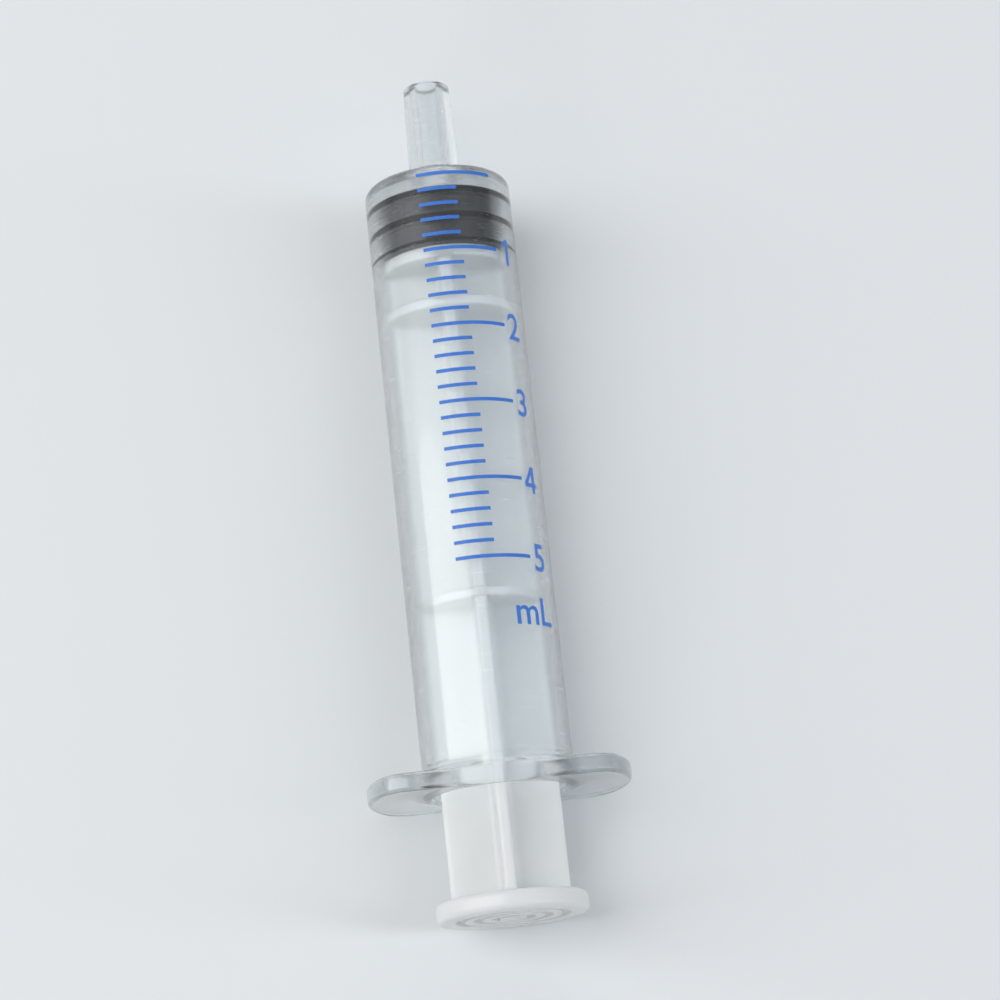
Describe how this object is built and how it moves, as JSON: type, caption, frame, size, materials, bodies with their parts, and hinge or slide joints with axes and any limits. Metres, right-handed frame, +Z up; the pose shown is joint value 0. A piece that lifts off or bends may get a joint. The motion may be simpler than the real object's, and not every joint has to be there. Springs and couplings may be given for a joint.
{
  "type": "enteral syringe",
  "caption": "Enteral syringe lying on its side: graduated translucent barrel with slip tip and finger flange, and a ribbed stopper on a plunger that slides and turns.",
  "frame": {"origin": "on the ground under the middle of the whole length, below the syringe's axis", "axes": "+Y along the axis towards the tip, +Z up through the middle of the graduation's short lines, +X along the finger flange"},
  "size_m": [0.0254, 0.0848, 0.0152],
  "materials": {
    "barrel_plastic": "satin, clear-translucent natural polypropylene",
    "rod_plastic": "satin, milky natural polypropylene",
    "stopper_rubber": "smooth black rubber with a film of silicone",
    "scale_ink": "printed blue ink"
  },
  "bodies": {
    "barrel": {"barrel": "barrel_plastic", "scale_print": "scale_ink"},
    "stopper": {"stopper": "stopper_rubber"},
    "plunger": {"plunger_rod": "rod_plastic"}
  },
  "joints": [
    {"name": "plunger_slide", "type": "slide", "parent": "barrel", "child": "stopper", "axis": [0, -1, 0], "range_m": [-0.0011, 0.0442]},
    {"name": "plunger_turn", "type": "hinge", "parent": "stopper", "child": "plunger", "pos_m": [0, 0, 0.00758], "axis": [0, 1, 0], "continuous": true}
  ]
}
